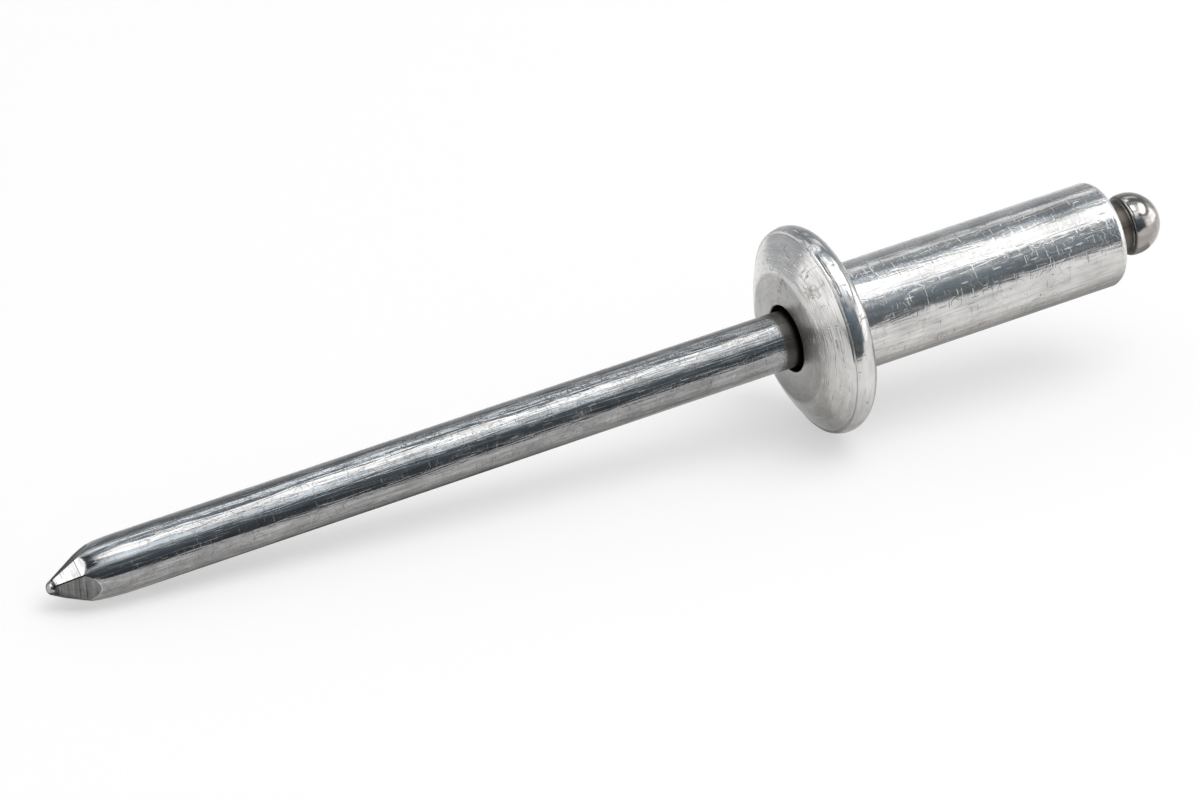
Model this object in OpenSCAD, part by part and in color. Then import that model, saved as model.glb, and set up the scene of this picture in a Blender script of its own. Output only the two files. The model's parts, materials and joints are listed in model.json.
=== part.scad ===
// Open-end blind rivet, unset: a one-piece aluminium rivet body on a one-piece steel mandrel.
// Each piece is drawn about its own Z axis with z = 0 on the seat under the head and +z towards
// the tail. The pair is then laid down as it comes to rest on a floor at z = 0, on the lower rim
// of the head and the rounded shoulder of the mandrel's point, with the tail towards +X.

/* [Shank] */
// Outside diameter of the shank
shank_diameter = 4.8; // [3.4:0.1:6]
// Length of the shank from the seat under the head to the tail end
shank_length = 14; // [6:0.5:40]
// Length of the worn edge round the tail end
tail_edge_length = 0.32; // [0.1:0.02:0.6]
// Inset of the worn edge from the side of the shank
tail_edge_inset = 0.3; // [0.1:0.02:0.4]
// Rise of the worn edge's curve above a straight chamfer
tail_edge_rise = 0.06; // [0.02:0.01:0.08]
// Chamfer that breaks the edge of the bore at the tail end
tail_bore_chamfer = 0.15; // [0.05:0.05:0.25]
// Gap between the mandrel and the bore, on each side
bore_clearance = 0.05; // [0.02:0.01:0.2]

/* [Head] */
// Diameter of the head over its rounded rim
head_diameter = 9.4; // [8:0.1:16]
// Height of the head from the seat to its face
head_height = 2.05; // [1.6:0.05:3]
// Diameter of the nearly flat land round the mouth of the bore
land_diameter = 5.9; // [4.6:0.1:6.4]
// Fall of the land from its middle to its outer edge
land_fall = 0.05; // [0.02:0.01:0.1]
// Inset of the crease between crown and rim from the outline of the head
crease_inset = 0.24; // [0.1:0.02:0.4]
// Drop from the face of the head to the crease
crease_drop = 0.9; // [0.6:0.05:1.1]
// Rise of the crown's curve above a straight cone
crown_rise = 0.06; // [0.02:0.01:0.12]
// Radius of the rolled lower rim of the head
rim_radius = 0.36; // [0.2:0.02:0.44]
// Radius of the fillet between the seat and the shank
seat_fillet = 0.15; // [0.05:0.05:0.3]
// Diameter of the widened mouth of the bore in the face of the head
mouth_diameter = 3; // [2.8:0.05:3.8]
// Depth of the widened mouth before it tapers to the bore
mouth_depth = 0.9; // [0.3:0.1:1.5]
// Radius that rounds the edge of the mouth
mouth_edge_radius = 0.1; // [0.05:0.05:0.2]

/* [Mandrel] */
// Diameter of the mandrel's rod
mandrel_diameter = 2.55; // [2.1:0.05:2.6]
// Length of mandrel that stands out of the face of the head
mandrel_reach = 34.85; // [25:0.05:60]
// Diameter of the ball that upsets the tail of the shank
ball_diameter = 2.82; // [2.7:0.02:4]
// Distance from the tail end of the shank to the middle of the ball
ball_standoff = 1.4; // [1:0.05:2.5]
// Distance from the middle of the ball back to its flat underside
ball_underside = 0.4; // [0.2:0.05:0.6]
// Step from the rod down to the neck that carries the ball, on each side
neck_step = 0.06; // [0.02:0.01:0.15]
// Length of the neck inside the shank
neck_inset = 0.5; // [0.3:0.1:1]
// Depth of the break groove, on each side
break_depth = 0.42; // [0.2:0.02:0.6]
// Distance from the tail end of the shank to the middle of the break groove
break_setback = 2.4; // [1.6:0.1:4]
// Width of the break groove at the surface of the rod
break_width = 1.1; // [0.6:0.1:1.4]
// Width of the flat bottom of the break groove
break_floor = 0.2; // [0.1:0.05:0.4]

/* [Pinched point] */
// Length from the end of the mandrel to where the rounded shoulder meets the full rod
shoulder_length = 3.6; // [3:0.1:5]
// Radius of the shoulder's curve along the rod
shoulder_radius = 14; // [8:0.5:30]
// Angle of the two wide facets to the mandrel's axis
wide_facet_angle = 27.6; // [24:0.2:30]
// Angle of the two narrow facets to the mandrel's axis
narrow_facet_angle = 33.2; // [29:0.2:36]
// Angle of the two side facets to the mandrel's axis
side_facet_angle = 26.6; // [24:0.2:32]
// Direction that a wide facet faces, measured round the axis from straight down
facet_turn = -82; // [-180:1:180]
// Step round the axis from a wide facet to the next side facet
side_facet_step = 52; // [48:1:80]
// Step round the axis from a wide facet to the next narrow facet
narrow_facet_step = 114; // [108:1:130]
// Distance by which the facets would run on past the end of the mandrel before they met
facet_overrun = 0.36; // [0.3:0.02:0.7]
// Distance by which the pinch cut sits off the mandrel's axis
cut_offset = 0.16; // [0:0.02:0.2]
// Direction in which the pinch cut sits off the axis, measured round it from straight down
cut_offset_turn = 24; // [-180:1:180]
// Diameter of the blunt nub that the pinch cut leaves
nub_diameter = 0.6; // [0.4:0.02:0.7]
// Length of the nub beyond the facets
nub_length = 0.22; // [0.1:0.01:0.25]

/* [Hidden] */
$fn = 96;

aluminium = [0.82, 0.82, 0.81];
steel = [0.58, 0.59, 0.6];

shank_r = shank_diameter / 2;
head_r = head_diameter / 2;
land_r = land_diameter / 2;
mouth_r = mouth_diameter / 2;
rod_r = mandrel_diameter / 2;
bore_r = rod_r + bore_clearance;
neck_r = rod_r - neck_step;
ball_r = ball_diameter / 2;
nub_r = nub_diameter / 2;

// Heights along the rivet's axis.
face_z = -head_height;
mouth_z = face_z + mouth_depth;
point_z = face_z - mandrel_reach;
shoulder_z = point_z + shoulder_length;
facet_end_z = point_z + nub_length;
facet_tip_z = point_z - facet_overrun;
neck_z = shank_length - neck_inset;
break_z = shank_length - break_setback;
ball_z = shank_length + ball_standoff;

// Middle line of the pinch cut, which its facets and the nub share.
cut_middle = cut_offset * [cos(cut_offset_turn), sin(cut_offset_turn), 0];

// Corners of the head's profile, as [radius, z].
land_edge = [land_r, face_z + land_fall];
crease = [head_r - crease_inset, face_z + crease_drop];
rim_middle = [head_r - rim_radius, -rim_radius];

// The rim leaves the crease along the line that runs smoothly into its rolled edge.
to_crease = crease - rim_middle;
rim_start = atan2(to_crease[1], to_crease[0]) + acos(rim_radius / norm(to_crease));

// Direction and angle to the axis of each facet of the point, in order round the axis.
facets = [for (side = [0, 180])
    each [[facet_turn + side, wide_facet_angle],
          [facet_turn + side_facet_step + side, side_facet_angle],
          [facet_turn + narrow_facet_step + side, narrow_facet_angle]]];

// The cutter of the point is wide enough to clear the rod on every side.
cutter = 6 * rod_r;

// Rest pose. The floor touches both the rolled rim, a small circle, and the shoulder, a large one,
// on the same side of the axis. Both are given as [z, distance from the axis].
rim_circle = [-rim_radius, head_r - rim_radius];
shoulder_circle = [shoulder_z, rod_r - shoulder_radius];
span = rim_circle - shoulder_circle;
tilt = atan2(span[1], span[0]) - asin((shoulder_radius - rim_radius) / norm(span));
axis_height = (head_r - rim_radius) * cos(tilt) + rim_radius * (1 + sin(tilt));

// Both ends are spheres, so how far they reach along X follows from their middles.
tail_x = ball_z * cos(tilt) + ball_r;
point_x = (point_z + nub_r) * cos(tilt) + cut_middle[0] * sin(tilt) - nub_r;

// Points on an arc of radius r about c, from angle from to angle to.
function arc(c, r, from, to, steps) =
    [for (i = [0:steps]) let (a = from + (to - from) * i / steps) c + r * [cos(a), sin(a)]];

// Points on a shallow arc from p to q that rises by rise to the right of the straight line.
function bowed(p, q, rise, steps) =
    let (chord = norm(q - p), along = (q - p) / chord, out = [along[1], -along[0]],
         r = (chord * chord / 4 + rise * rise) / (2 * rise),
         c = (p + q) / 2 + (rise - r) * out, half = asin(chord / 2 / r))
    [for (i = [0:steps]) let (a = half * (2 * i / steps - 1))
        c + r * (cos(a) * out + sin(a) * along)];

// Radius of the mandrel on its rounded shoulder.
function shoulder_r(z) =
    rod_r - shoulder_radius + sqrt(pow(shoulder_radius, 2) - pow(shoulder_z - z, 2));

// Lays a piece down in its place on the floor.
module at_rest() {
    translate([-(tail_x + point_x) / 2, 0, axis_height])
        rotate([0, 90 - tilt, 0])
            children();
}

// One solid turned about the axis: up the bore, round the mouth, out over the land and the crown,
// round the rim, in along the seat, up the shank and over the edge of the tail.
module rivet_body() {
    color(aluminium)
        at_rest()
            rotate_extrude()
                polygon(concat(
                    [[bore_r + tail_bore_chamfer, shank_length],
                     [bore_r, shank_length - tail_bore_chamfer],
                     [bore_r, mouth_z + mouth_r - bore_r],
                     [mouth_r, mouth_z]],
                    arc([mouth_r + mouth_edge_radius, face_z + mouth_edge_radius],
                        mouth_edge_radius, 180, 270, 5),
                    [[(mouth_r + land_r) / 2, face_z]],
                    bowed(land_edge, crease, crown_rise, 12),
                    arc(rim_middle, rim_radius, rim_start, 90, 14),
                    arc([shank_r + seat_fillet, seat_fillet], seat_fillet, 270, 180, 5),
                    bowed([shank_r, shank_length - tail_edge_length],
                          [shank_r - tail_edge_inset, shank_length], tail_edge_rise, 6)
                ));
}

// Corner between the facets f and g, on a plane one unit beyond the tip that all six run to.
function corner(f, g) =
    (tan(f[1]) * [sin(g[0]), -cos(g[0])] - tan(g[1]) * [sin(f[0]), -cos(f[0])]) / sin(g[0] - f[0]);

// Block round the point with a six-sided pyramid taken out of it, tip first.
module pinch_cutter() {
    translate(cut_middle + [0, 0, facet_tip_z])
        difference() {
            cube(2 * cutter, center = true);
            polyhedron(
                points = concat([[0, 0, 0]],
                    [for (i = [0:5]) 1.2 * cutter * concat(corner(facets[i], facets[(i + 1) % 6]), 1)]),
                faces = concat([[6, 5, 4, 3, 2, 1]], [for (i = [0:5]) [0, i + 1, (i + 1) % 6 + 1]])
            );
        }
}

// Rod with the rounded shoulder, the break groove and the neck, turned about the axis.
module rod() {
    rotate_extrude()
        polygon(concat(
            [[0, facet_end_z]],
            [for (i = [0:16]) let (z = facet_end_z + (shoulder_z - facet_end_z) * i / 16)
                [shoulder_r(z), z]],
            [[rod_r, break_z - break_width / 2],
             [rod_r - break_depth, break_z - break_floor / 2],
             [rod_r - break_depth, break_z + break_floor / 2],
             [rod_r, break_z + break_width / 2],
             [rod_r, neck_z],
             [neck_r, neck_z + rod_r - neck_r],
             [neck_r, ball_z],
             [0, ball_z]]
        ));
}

// Ball headed on the end of the neck, flat on the side that bears on the tail of the shank.
module ball() {
    difference() {
        translate([0, 0, ball_z])
            sphere(d = ball_diameter);
        translate([0, 0, ball_z - ball_underside - ball_diameter])
            cylinder(d = 2 * ball_diameter, h = ball_diameter);
    }
}

// One solid: the rod with its six pinched facets in opposite pairs, the nub and the ball.
module mandrel() {
    color(steel)
        at_rest() {
            difference() {
                rod();
                pinch_cutter();
            }
            translate(cut_middle + [0, 0, point_z + nub_r])
                sphere(d = nub_diameter);
            ball();
        }
}

rivet_body();
mandrel();
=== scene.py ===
"""Workshop for an unset blind rivet: its aluminium body, its steel mandrel and a studio to show them in."""
import json
import math

import bpy
import numpy as np
from mathutils import Matrix, Vector


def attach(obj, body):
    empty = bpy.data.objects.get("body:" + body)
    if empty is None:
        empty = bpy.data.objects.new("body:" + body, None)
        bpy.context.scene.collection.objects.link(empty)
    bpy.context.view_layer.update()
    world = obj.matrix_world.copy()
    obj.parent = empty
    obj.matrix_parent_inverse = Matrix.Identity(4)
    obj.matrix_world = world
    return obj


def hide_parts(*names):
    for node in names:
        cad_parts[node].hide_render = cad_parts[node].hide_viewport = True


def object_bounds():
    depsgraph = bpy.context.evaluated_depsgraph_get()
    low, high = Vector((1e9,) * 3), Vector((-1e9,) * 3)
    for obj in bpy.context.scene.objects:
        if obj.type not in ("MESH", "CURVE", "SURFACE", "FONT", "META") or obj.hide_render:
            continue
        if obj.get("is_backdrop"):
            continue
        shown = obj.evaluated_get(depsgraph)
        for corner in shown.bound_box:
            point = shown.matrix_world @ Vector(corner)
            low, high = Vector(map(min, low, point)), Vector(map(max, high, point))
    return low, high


bl_info = {
    "name": "Blind Rivet Workshop",
    "version": (1, 0, 0),
    "blender": (4, 5, 0),
    "location": "3D View > Sidebar > Rivet",
    "description": "Makes an unset blind rivet on its mandrel, and the studio round it",
    "category": "Add Mesh",
}

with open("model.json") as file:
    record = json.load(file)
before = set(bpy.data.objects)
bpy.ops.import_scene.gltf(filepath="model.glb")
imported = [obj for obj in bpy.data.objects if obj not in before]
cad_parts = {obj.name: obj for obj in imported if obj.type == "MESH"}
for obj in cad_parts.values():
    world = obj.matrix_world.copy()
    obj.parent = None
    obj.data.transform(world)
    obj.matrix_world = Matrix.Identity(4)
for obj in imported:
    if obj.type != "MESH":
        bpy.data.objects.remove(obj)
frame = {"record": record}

MM = 0.001
MOUNTS = {m["name"]: m for m in frame["record"]["mounts"]}
FULL_TURN = 2 * math.pi
# Names of the point's attributes: where the facets are, their finish with painted light and shade, their
# painted highlights and their painted dark seams.
FACET, FACET_FINISH_AND_SHADING, FACET_GLINT, FACET_SEAM_SHADE = "facet", "facet_finish_and_shading", "facet_glint", "facet_seam_shade"
# Colours of painted black (painted shade in the mouth, painted dark reflection along the facet seams), of
# painted highlights on bright edges, and of the painted shade in the mouth of the bore.
PAINTED_BLACK, PAINTED_EDGE_HIGHLIGHT, PAINTED_MOUTH_SHADE = (0.004, 0.004, 0.004, 1), (0.8, 0.8, 0.8, 1), (0.012, 0.011, 0.01, 1)
# How light the wide, the side and the narrow facets are against the rod: the cut finish with painted light
# and shade, the side facets painted darker and the narrow ones painted lighter.
FACET_FINISH_AND_SHADING_LEVELS = (0.62, 0.27, 1.3)
# The rounded edge of the ball's underside is this much longer along the axis than it is deep.
EDGE_STRETCH = 1.8
# Seed of the body's slight unevenness.
WAVE_SEED = 4.0
# Strength at which the floor and the surroundings show as plain white.
PLAIN_WHITE = 0.99


def axis_to_tail():
    """Unit direction of the rivet's axis, from the point of the mandrel to its ball."""
    return Vector(MOUNTS["shank"]["axis"]).normalized()


def seat_centre():
    """Where the axis crosses the seat under the head."""
    flat = Vector(MOUNTS["seat"]["pos_m"])
    on_axis = Vector(MOUNTS["shank"]["pos_m"])
    along = axis_to_tail()
    return on_axis + along * (flat - on_axis).dot(along)


def rest_place():
    """Turn and move that take a piece drawn about its own Z axis, seat at zero, to where it lies at rest."""
    tail = axis_to_tail()
    level = Vector((0, 1, 0))
    down = level.cross(tail)
    place = Matrix((down, level, tail)).transposed().to_4x4()
    place.translation = seat_centre()
    return place


# ---------------------------------------------------------------------------------------------
# Sizes, colours and studio settings
# ---------------------------------------------------------------------------------------------


def length_setting(label, about, millimetres):
    """A size, given in millimetres and kept in metres."""
    return bpy.props.FloatProperty(name=label, description=about, default=millimetres * MM, unit="LENGTH")


def angle_setting(label, about, degrees):
    """An angle, given in degrees and kept in radians."""
    return bpy.props.FloatProperty(
        name=label, description=about, default=math.radians(degrees), subtype="ANGLE")


def share_setting(label, about, share):
    """A share between nothing and all."""
    return bpy.props.FloatProperty(
        name=label, description=about, default=share, min=0, max=1, subtype="FACTOR")


def strength_setting(label, about, strength):
    """Strength of a light."""
    return bpy.props.FloatProperty(name=label, description=about, default=strength, min=0)


def colour_setting(label, about, colour):
    """A colour of three numbers."""
    return bpy.props.FloatVectorProperty(
        name=label, description=about, default=colour, min=0, max=1, subtype="COLOR")


class RivetBodySizes(bpy.types.PropertyGroup):
    """Sizes of the aluminium body: shank and head in one piece."""

    shank_diameter: length_setting(
        "Shank diameter", "Outside diameter of the shank", 2 * MOUNTS["shank"]["dims"]["r_mm"])
    shank_length: length_setting("Shank length", "Length from the seat under the head to the tail end", 14)
    tail_edge_length: length_setting("Tail edge length", "Length of the worn edge round the tail end", 0.32)
    tail_edge_inset: length_setting(
        "Tail edge inset", "Inset of the worn edge from the side of the shank", 0.3)
    tail_edge_rise: length_setting("Tail edge rise", "Rise of the worn edge above a straight chamfer", 0.06)
    bore_chamfer: length_setting("Bore chamfer", "Chamfer on the edge of the bore at the tail", 0.15)
    bore_clearance: length_setting(
        "Bore clearance", "Gap between the mandrel and the bore, on each side", 0.05)
    head_diameter: length_setting("Head diameter", "Diameter of the head over its rolled rim", 9.4)
    head_height: length_setting("Head height", "Height of the head from the seat to its face", 2.05)
    land_diameter: length_setting("Land diameter", "Diameter of the nearly flat land round the mouth", 5.9)
    land_fall: length_setting("Land fall", "Fall of the land from its middle to its outer edge", 0.05)
    crease_inset: length_setting("Crease inset", "Inset of the crease from the outline of the head", 0.24)
    crease_drop: length_setting("Crease drop", "Drop from the face of the head to the crease", 0.9)
    crease_groove: length_setting(
        "Crease groove", "Depth of the fine groove that the upsetting die left", 0.055)
    bead_slope: length_setting(
        "Bead slope", "Radius of the rim's bead from the crease to its widest ring", 0.95)
    crown_rise: length_setting("Crown rise", "Rise of the crown above a straight cone", 0.06)
    bead_radius: length_setting(
        "Bead radius", "Radius of the rim's bead from its widest ring to the seat", 0.73)
    seat_fillet: length_setting("Seat fillet", "Radius between the seat and the shank", 0.15)
    mouth_diameter: length_setting("Mouth diameter", "Diameter of the widened mouth of the bore", 3)
    mouth_depth: length_setting("Mouth depth", "Depth of the widened mouth before it tapers in", 0.9)
    mouth_edge: length_setting("Mouth edge", "Radius that rounds the edge of the mouth", 0.1)
    wave_height: length_setting("Wave height", "Height of the slight unevenness left by cold forming", 0.003)
    wave_length: length_setting("Wave length", "Distance from one swell of that unevenness to the next", 0.9)
    steps_round: bpy.props.IntProperty(
        name="Steps round", description="Number of faces round the axis", default=288, min=24)


class MandrelSizes(bpy.types.PropertyGroup):
    """Sizes of the steel mandrel: point, rod, break groove, neck and ball in one piece."""

    diameter: length_setting(
        "Rod diameter", "Diameter of the drawn wire", 2 * MOUNTS["mandrel_grip"]["dims"]["r_mm"])
    reach: length_setting("Reach", "Length of mandrel that stands out of the face of the head", 34.85)
    ball_diameter: length_setting("Ball diameter", "Diameter of the ball that upsets the tail", 2.82)
    ball_standoff: length_setting(
        "Ball standoff", "Distance from the tail end to the middle of the ball", 1.4)
    ball_underside: length_setting(
        "Ball underside", "Distance from the middle of the ball back to its flat underside", 0.4)
    underside_edge: length_setting("Underside edge", "How far the edge of that underside is rounded", 0.1)
    neck_step: length_setting("Neck step", "Step from the rod down to the neck, on each side", 0.06)
    neck_inset: length_setting("Neck inset", "Length of the neck inside the shank", 0.5)
    break_depth: length_setting("Break depth", "Depth of the break groove, on each side", 0.42)
    break_setback: length_setting("Break setback", "Distance from the tail end to the break groove", 2.4)
    break_width: length_setting("Break width", "Width of the break groove at the surface", 1.1)
    break_floor: length_setting("Break floor", "Width of the flat bottom of the break groove", 0.2)
    shoulder_length: length_setting(
        "Shoulder length", "Length from the end to where the full rod begins", 3.6)
    shoulder_radius: length_setting("Shoulder radius", "Radius of the shoulder's curve along the rod", 14)
    wide_angle: angle_setting("Wide facet angle", "Angle of the two wide facets to the axis", 27.6)
    narrow_angle: angle_setting("Narrow facet angle", "Angle of the two narrow facets to the axis", 33.2)
    side_angle: angle_setting("Side facet angle", "Angle of the two side facets to the axis", 26.6)
    facet_turn: angle_setting("Facet turn", "Direction a wide facet faces, from straight down", -82)
    side_step: angle_setting("Side facet step", "Turn from a wide facet to the next side facet", 52)
    narrow_step: angle_setting("Narrow facet step", "Turn from a wide facet to the next narrow facet", 114)
    facet_overrun: length_setting("Facet overrun", "How far past the end the facets would meet", 0.36)
    cut_offset: length_setting("Cut offset", "How far the pinch cut sits off the axis", 0.16)
    cut_offset_turn: angle_setting("Cut offset turn", "Direction of that offset, from straight down", 24)
    nub_diameter: length_setting("Nub diameter", "Diameter of the blunt nub left by the pinch cut", 0.66)
    nub_length: length_setting("Nub length", "Length of the nub beyond the facets", 0.28)
    # Turn of the painted shade in the crease at the nub's foot.
    nub_crease_shade_turn: angle_setting(
        "Smear turn", "Direction of the dark smear at the nub, back from a wide facet", 48)
    ridge_blend: length_setting("Ridge blend", "How far the ridges between facets are rounded off", 0.03)
    drag: length_setting("Drag", "How far the skin of the rod was drawn down at each facet", 0.02)
    mark_depth: length_setting("Mark depth", "Depth of the pinch marks across the facets", 0.009)
    mark_spacing: length_setting("Mark spacing", "Distance between the pinch marks", 0.16)
    steps_round: bpy.props.IntProperty(
        name="Steps round", description="Number of faces round the axis", default=240, min=24)


class RivetFinish(bpy.types.PropertyGroup):
    """Colours and surface of the two metals."""

    aluminium: colour_setting("Aluminium", "Colour of the bare aluminium body", (0.58, 0.575, 0.565))
    aluminium_roughness: share_setting(
        "Aluminium roughness", "Roughness of the body between its scratches", 0.17)
    steel: colour_setting("Steel", "Colour of the drawn steel wire", (0.31, 0.31, 0.31))
    steel_roughness: share_setting("Steel roughness", "Roughness of the wire between its drawing lines", 0.11)
    ball_steel: colour_setting("Ball steel", "Colour of the polished ball", (0.39, 0.37, 0.35))
    # The neck's colour is a warm tint with painted shade between the shank's tail and the ball.
    neck_steel_and_shade: colour_setting("Neck steel", "Warmer colour of the neck under the ball", (0.135, 0.118, 0.1))
    stain: colour_setting("Stain", "Tint of the dirt held in scratches and pits", (0.4, 0.35, 0.31))
    # Colour of the painted shade on the rod where it goes into the mouth.
    rod_mouth_shade: colour_setting(
        "Soot", "Colour of the grime on the rod where it goes into the mouth", (0.11, 0.1, 0.09))


class RivetStudio(bpy.types.PropertyGroup):
    """Camera, lamps and cards of the studio."""

    camera_azimuth: angle_setting("Camera azimuth", "Direction of the camera round the object", -27.227)
    camera_elevation: angle_setting("Camera elevation", "Height of the camera above the horizon", 27.086)
    camera_distance: length_setting(
        "Camera distance", "Distance from the camera to the point aimed at", 237.319)
    camera_lens: bpy.props.FloatProperty(
        name="Lens", description="Focal length in millimetres", default=165, min=1)
    aim: bpy.props.FloatVectorProperty(
        name="Aim", description="Point aimed at, from the middle of the object",
        default=(-0.285 * MM, 1.659 * MM, -1.95 * MM), subtype="TRANSLATION")
    soft_light: strength_setting("Soft light", "Strength of the overhead softboxes", 2.8)
    lamp: strength_setting("Lamp", "Strength of the lamp that casts the shadows", 3.36)
    fill: strength_setting("Fill", "Strength of the light from all round", 0.73)
    table_glow: share_setting(
        "Table glow", "Share of the floor's light that comes from below, which eases shadows", 0.48)
    floor_drop: length_setting(
        "Floor drop", "How far the floor lies below the rivet, which sets its shadow off from it", 0.2)
    ceiling: length_setting("Ceiling", "Height of the softboxes above the floor", 300)


SETTINGS = (("rivet_body_sizes", RivetBodySizes), ("mandrel_sizes", MandrelSizes),
            ("rivet_finish", RivetFinish), ("rivet_studio", RivetStudio))


# ---------------------------------------------------------------------------------------------
# Wiring nodes
# ---------------------------------------------------------------------------------------------


def feed(tree, socket, value):
    """Links value to socket if it is an output, or else writes it as the socket's own value."""
    if isinstance(value, bpy.types.NodeSocket):
        tree.links.new(value, socket)
    else:
        socket.default_value = value


def add_node(tree, kind, inputs=None, **settings):
    """Adds a node with its settings and inputs. Inputs are named or numbered."""
    node = tree.nodes.new(kind)
    node.location = (190 * (len(tree.nodes) % 12), -230 * (len(tree.nodes) // 12))
    for name, value in settings.items():
        setattr(node, name, value)
    for name, value in (inputs or {}).items():
        feed(tree, node.inputs[name], value)
    return node


def calc(tree, operation, *values, clamp=False):
    """Output of a Math node."""
    node = add_node(tree, "ShaderNodeMath", dict(enumerate(values)), operation=operation, use_clamp=clamp)
    return node.outputs[0]


def vector_calc(tree, operation, *values):
    """Output of a Vector Math node, a number for a length or product and a vector otherwise."""
    node = add_node(tree, "ShaderNodeVectorMath", dict(enumerate(values)), operation=operation)
    return node.outputs["Value" if operation in {"LENGTH", "DOT_PRODUCT"} else "Vector"]


def scaled(tree, vector, amount):
    """Vector made longer by amount."""
    node = add_node(tree, "ShaderNodeVectorMath", {0: vector, "Scale": amount}, operation="SCALE")
    return node.outputs[0]


def eased(tree, value, low, high, to_low=0.0, to_high=1.0):
    """Value eased smoothly from to_low to to_high as it goes from low to high."""
    node = add_node(tree, "ShaderNodeMapRange",
                    {"Value": value, "From Min": low, "From Max": high, "To Min": to_low, "To Max": to_high},
                    interpolation_type="SMOOTHSTEP")
    return node.outputs["Result"]


def noise(tree, vector, seed=0.0, scale=1.0, detail=2.0, roughness=0.5):
    """Grey value of a 4D noise, whose fourth number is the seed."""
    node = add_node(tree, "ShaderNodeTexNoise",
                    {"Vector": vector, "W": seed, "Scale": scale, "Detail": detail, "Roughness": roughness},
                    noise_dimensions="4D")
    return node.outputs[0]


def blend_colour(tree, factor, first, second, mode="MIX"):
    """First colour going over to second as factor goes from 0 to 1."""
    node = add_node(tree, "ShaderNodeMix", data_type="RGBA", blend_type=mode)
    feed(tree, node.inputs[0], factor)
    feed(tree, node.inputs[6], first)
    feed(tree, node.inputs[7], second)
    return node.outputs[2]


def opaque(colour):
    """Colour of three numbers with an alpha of 1."""
    return (*colour, 1.0)


def emptied_tree(owner):
    """Node tree of a new material or world, without its usual nodes."""
    owner.use_nodes = True
    owner.node_tree.nodes.clear()
    return owner.node_tree


def new_group(name, sockets, kind="ShaderNodeTree"):
    """New node group with its sockets, each (name, "INPUT" or "OUTPUT", socket type, default)."""
    tree = bpy.data.node_groups.new(name, kind)
    for label, way, socket_type, default in sockets:
        socket = tree.interface.new_socket(label, in_out=way, socket_type=socket_type)
        if default is not None:
            socket.default_value = default
    return tree, tree.nodes.new("NodeGroupInput"), tree.nodes.new("NodeGroupOutput")


def use_group(tree, group, **inputs):
    """Puts a shader group in a tree with its inputs, whose names are written with _ for spaces."""
    node = add_node(tree, "ShaderNodeGroup", node_tree=group)
    for name, value in inputs.items():
        feed(tree, node.inputs[name.replace("_", " ")], value)
    return node


# ---------------------------------------------------------------------------------------------
# Effects that both metals share
# ---------------------------------------------------------------------------------------------

AXES, HAIRLINES, GRAIN, MARKS, TILT = "Rivet Axes", "Hairlines", "Drawn Grain", "Marks", "Tilt"


def axes_group():
    """Place of a surface point in the rivet's own terms, in millimetres."""
    tree, given, result = new_group(AXES, (
        ("Seat", "INPUT", "NodeSocketVector", (0, 0, 0)),
        ("Turn", "INPUT", "NodeSocketVector", (0, 0, 0)),
        ("Local", "OUTPUT", "NodeSocketVector", None),
        ("Down", "OUTPUT", "NodeSocketFloat", None),
        ("Along", "OUTPUT", "NodeSocketFloat", None),
        ("Radius", "OUTPUT", "NodeSocketFloat", None),
        ("Wheel", "OUTPUT", "NodeSocketVector", None)))
    place = add_node(tree, "ShaderNodeTexCoord").outputs["Object"]
    local = add_node(tree, "ShaderNodeMapping",
                     {"Vector": place, "Location": given.outputs["Seat"],
                      "Rotation": given.outputs["Turn"], "Scale": (MM, MM, MM)},
                     vector_type="TEXTURE").outputs[0]
    parts = add_node(tree, "ShaderNodeSeparateXYZ", {0: local}).outputs
    across = add_node(tree, "ShaderNodeCombineXYZ", {0: parts[0], 1: parts[1]}).outputs[0]
    feed(tree, result.inputs["Local"], local)
    feed(tree, result.inputs["Down"], parts[0])
    feed(tree, result.inputs["Along"], parts[2])
    radius = vector_calc(tree, "LENGTH", across)
    feed(tree, result.inputs["Radius"], radius)
    turned = vector_calc(tree, "NORMALIZE", across)
    spoke = add_node(tree, "ShaderNodeSeparateXYZ", {0: turned}).outputs
    reach = calc(tree, "ADD", radius, parts[2])
    wheel = add_node(tree, "ShaderNodeCombineXYZ", {0: spoke[0], 1: spoke[1], 2: reach}).outputs[0]
    feed(tree, result.inputs["Wheel"], wheel)
    return tree


def pattern_group(name, output, **numbers):
    """New shared effect with a vector, its stretch, its numbers and one output, and the stretched vector."""
    sockets = [("Vector", "INPUT", "NodeSocketVector", (0, 0, 0)),
               ("Stretch", "INPUT", "NodeSocketVector", (1, 1, 1))]
    sockets += [(label, "INPUT", "NodeSocketFloat", default) for label, default in numbers.items()]
    sockets.append((output, "OUTPUT", "NodeSocketFloat", None))
    tree, given, result = new_group(name, sockets)
    pulled = vector_calc(tree, "MULTIPLY", given.outputs["Vector"], given.outputs["Stretch"])
    return tree, given.outputs, result.inputs[output], pulled


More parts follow.
